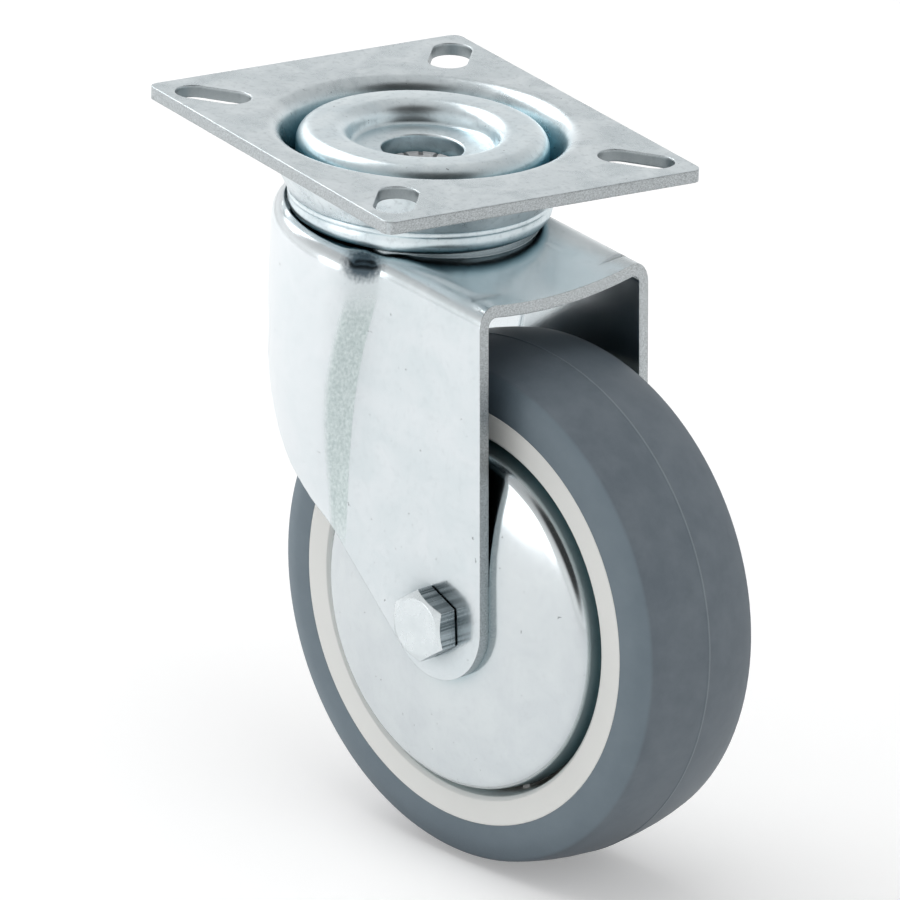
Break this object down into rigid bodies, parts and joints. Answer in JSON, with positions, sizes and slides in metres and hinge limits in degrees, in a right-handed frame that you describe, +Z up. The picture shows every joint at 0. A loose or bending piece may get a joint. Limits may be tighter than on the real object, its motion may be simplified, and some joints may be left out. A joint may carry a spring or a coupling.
{
  "type": "swivel castor",
  "caption": "Swivel castor with a slotted rectangular top plate, a pressed zinc plated steel fork, thread guards and a soft grey tyre on a white wheel centre.",
  "frame": {"origin": "on the swivel axis, level with the top face of the mounting plate, which is also the centre of the four slots", "axes": "+Z up along the swivel axis, +X along the long side of the plate; at rest the fork trails 12.3 degrees from +X towards +Y"},
  "size_m": [0.1523, 0.0919, 0.1678],
  "materials": {
    "zinc_plate": "satin bright zinc plating",
    "bright_steel": "plain bright steel",
    "ball_steel": "polished steel",
    "white_plastic": "semi-matt white plastic",
    "nylon": "satin nylon",
    "grey_tyre": "matt slate grey elastic rubber",
    "dark_seal": "matt black rubber"
  },
  "bodies": {
    "plate_body": {"top_plate": "zinc_plate", "swivel_cup": "zinc_plate", "kingpin": "bright_steel", "lower_cup": "bright_steel", "lower_balls": "ball_steel"},
    "fork_body": {"fork": "zinc_plate", "main_balls": "ball_steel", "dust_ring": "dark_seal", "guard_near": "zinc_plate", "guard_far": "zinc_plate", "axle_bolt": "bright_steel", "lock_nut": "bright_steel", "nut_insert": "nylon", "washer_far": "zinc_plate", "axle_tube": "bright_steel", "bearing_spacer": "bright_steel", "bush_near": "bright_steel", "bush_far": "bright_steel", "bearing_inner_near": "bright_steel", "bearing_inner_far": "bright_steel"},
    "wheel_body": {"wheel_centre": "white_plastic", "tyre": "grey_tyre", "bearing_outer_near": "bright_steel", "bearing_outer_far": "bright_steel", "bearing_balls_near": "ball_steel", "bearing_balls_far": "ball_steel", "bearing_seal_near": "dark_seal", "bearing_seal_far": "dark_seal"}
  },
  "joints": [
    {"name": "swivel", "type": "hinge", "parent": "plate_body", "child": "fork_body", "pos_m": [0, 0, 0], "axis": [0, 0, 1], "continuous": true},
    {"name": "wheel_spin", "type": "hinge", "parent": "fork_body", "child": "wheel_body", "pos_m": [0.03683, 0.00803, -0.1051], "axis": [-0.213, 0.977, 0], "continuous": true}
  ]
}
